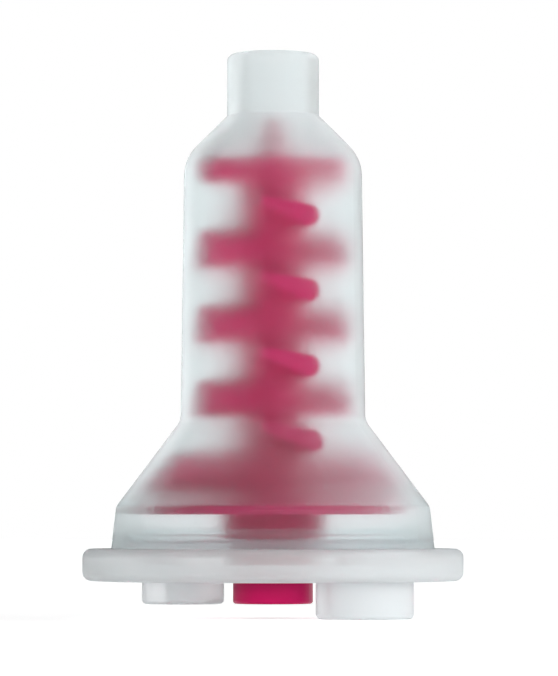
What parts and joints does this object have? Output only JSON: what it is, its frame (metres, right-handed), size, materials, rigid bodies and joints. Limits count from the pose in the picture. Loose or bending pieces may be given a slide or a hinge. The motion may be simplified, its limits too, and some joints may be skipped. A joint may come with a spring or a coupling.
{
  "type": "dynamic mixing tip",
  "caption": "Frosted mixing tip: bell-shaped housing on a flange with unequal inlet sockets, and a crimson bladed rotor that spins inside and blends pastes on their way to the nozzle.",
  "frame": {"origin": "on the mixing axis, at the level of the base inlet socket's mouth, the lowest point of the part", "axes": "+Z along the mixing axis towards the outlet nozzle, +X towards the larger base inlet socket"},
  "size_m": [0.04, 0.04, 0.0593],
  "materials": {
    "housing_plastic": "frosted translucent polypropylene",
    "cover_plastic": "milky translucent polypropylene, smooth",
    "rotor_plastic": "crimson moulded plastic, satin"
  },
  "bodies": {
    "housing": {"mixer_housing": "housing_plastic", "rear_cover": "cover_plastic"},
    "rotor": {"mixing_rotor": "rotor_plastic"}
  },
  "joints": [
    {"name": "rotor_spin", "type": "hinge", "parent": "housing", "child": "rotor", "pos_m": [0, 0, 0.006], "axis": [0, 0, 1], "continuous": true}
  ]
}
